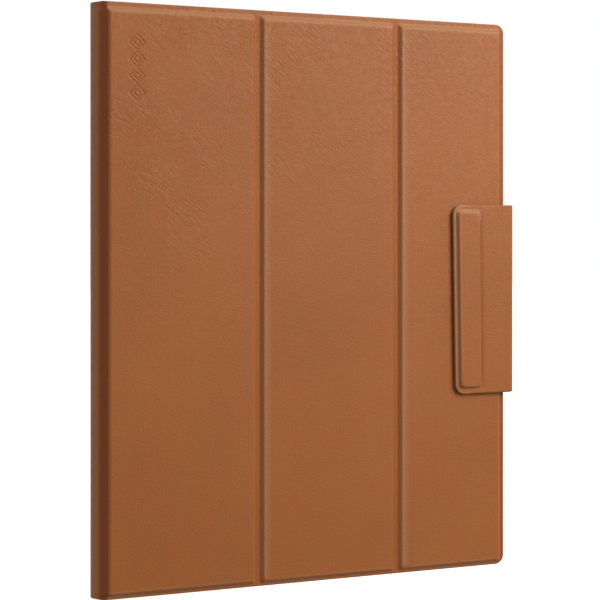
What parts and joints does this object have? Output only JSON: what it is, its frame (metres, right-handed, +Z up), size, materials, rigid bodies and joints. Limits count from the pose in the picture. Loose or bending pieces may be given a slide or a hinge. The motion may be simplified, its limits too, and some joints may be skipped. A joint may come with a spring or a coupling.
{
  "type": "e-reader in folio cover",
  "caption": "Electronic-paper note reader inside a closed leather folio with three folding front panels and a magnetic strap; standing upright.",
  "frame": {"origin": "centre of the closed object's bounding box, on the surface that its bottom edge stands on", "axes": "+Z up along the height; -Y out of the front cover; the spine is at -X and the strap at +X"},
  "size_m": [0.1922, 0.0158, 0.24],
  "materials": {
    "leather": "fine grained, satin, brown",
    "lining": "short-napped microfibre, charcoal",
    "cover_board": "grey pressed board",
    "magnet": "nickel plated",
    "keeper": "plain steel sheet",
    "case": "dark bead-blasted anodised",
    "key": "anodised",
    "frame_metal": "cast, raw",
    "cell": "wrapped pouch cell",
    "flex": "amber flexible circuit",
    "circuit": "solder-masked board",
    "chip": "moulded black",
    "shield": "tinned sheet",
    "speaker": "black moulded",
    "window": "matte, matched to the case",
    "screw": "zinc plated",
    "sensor_sheet": "laminated sheet",
    "paper_panel": "electronic paper, matte",
    "light_guide": "clear sheet",
    "light_bar": "white strip",
    "gasket": "black moulded frame",
    "front_glass": "etched, printed border, paper-grey picture area"
  },
  "bodies": {
    "back_cover": {"back_leather": "leather", "back_board": "cover_board", "back_lining": "lining", "dock_magnets": "magnet", "strap_tail": "leather", "rear_shell": "case", "mid_frame": "frame_metal", "battery_left": "cell", "battery_right": "cell", "battery_lead": "flex", "main_board": "circuit", "processor": "chip", "memory_chip": "chip", "power_chip": "chip", "board_shield": "shield", "hall_sensor": "chip", "key_switch": "shield", "lower_board": "circuit", "usb_socket": "shield", "microphone": "shield", "speaker_left": "speaker", "speaker_right": "speaker", "antenna_window": "window", "reader_magnets": "magnet", "case_screws": "screw", "pen_sensor": "sensor_sheet", "sensor_ribbon": "flex", "display_panel": "paper_panel", "display_ribbon": "flex", "light_guide": "light_guide", "light_bar": "light_bar", "touch_panel": "light_guide", "glass_frame": "gasket", "front_glass": "front_glass"},
    "power_key": {"power_key": "key"},
    "spine": {"spine_leather": "leather", "spine_board": "cover_board", "spine_lining": "lining", "back_fold": "leather"},
    "front_panel_1": {"panel_1_leather": "leather", "panel_1_board": "cover_board", "panel_1_lining": "lining", "front_fold": "leather"},
    "front_panel_2": {"panel_2_leather": "leather", "panel_2_board": "cover_board", "panel_2_lining": "lining", "groove_fold_1": "leather"},
    "front_panel_3": {"panel_3_leather": "leather", "panel_3_board": "cover_board", "panel_3_lining": "lining", "keeper_plate": "keeper", "wake_magnet": "magnet", "groove_fold_2": "leather"},
    "strap_side": {"strap_root_fold": "leather", "strap_side": "leather"},
    "strap_flap": {"strap_front_fold": "leather", "strap_leather": "leather", "strap_lining": "lining", "strap_magnets": "magnet"}
  },
  "joints": [
    {"name": "spine_turn", "type": "hinge", "parent": "back_cover", "child": "spine", "pos_m": [-0.09507, 0.00687, 0.12], "axis": [0, 0, -1], "range_deg": [0, 175], "deforming": ["back_fold"]},
    {"name": "cover_turn", "type": "hinge", "parent": "spine", "child": "front_panel_1", "pos_m": [-0.09507, -0.00227, 0.12], "axis": [0, 0, -1], "range_deg": [0, 175], "deforming": ["front_fold"]},
    {"name": "panel_fold_1", "type": "hinge", "parent": "front_panel_1", "child": "front_panel_2", "pos_m": [-0.02755, -0.0048, 0.12], "axis": [0, 0, 1], "range_deg": [-120, 0], "deforming": ["groove_fold_1"]},
    {"name": "panel_fold_2", "type": "hinge", "parent": "front_panel_2", "child": "front_panel_3", "pos_m": [0.03745, -0.0048, 0.12], "axis": [0, 0, 1], "range_deg": [-120, 0], "deforming": ["groove_fold_2"]},
    {"name": "strap_swing", "type": "hinge", "parent": "back_cover", "child": "strap_side", "pos_m": [0.09466, 0.00526, 0.1181], "axis": [0, 0, 1], "range_deg": [0, 120], "deforming": ["strap_root_fold"]},
    {"name": "strap_lift", "type": "hinge", "parent": "strap_side", "child": "strap_flap", "pos_m": [0.09461, -0.00521, 0.1181], "axis": [0, 0, 1], "range_deg": [0, 90], "deforming": ["strap_front_fold"]},
    {"name": "power_key_press", "type": "slide", "parent": "back_cover", "child": "power_key", "axis": [0, 0, -1], "range_m": [0, 0.0003], "stiffness_N_per_m": 6000}
  ]
}
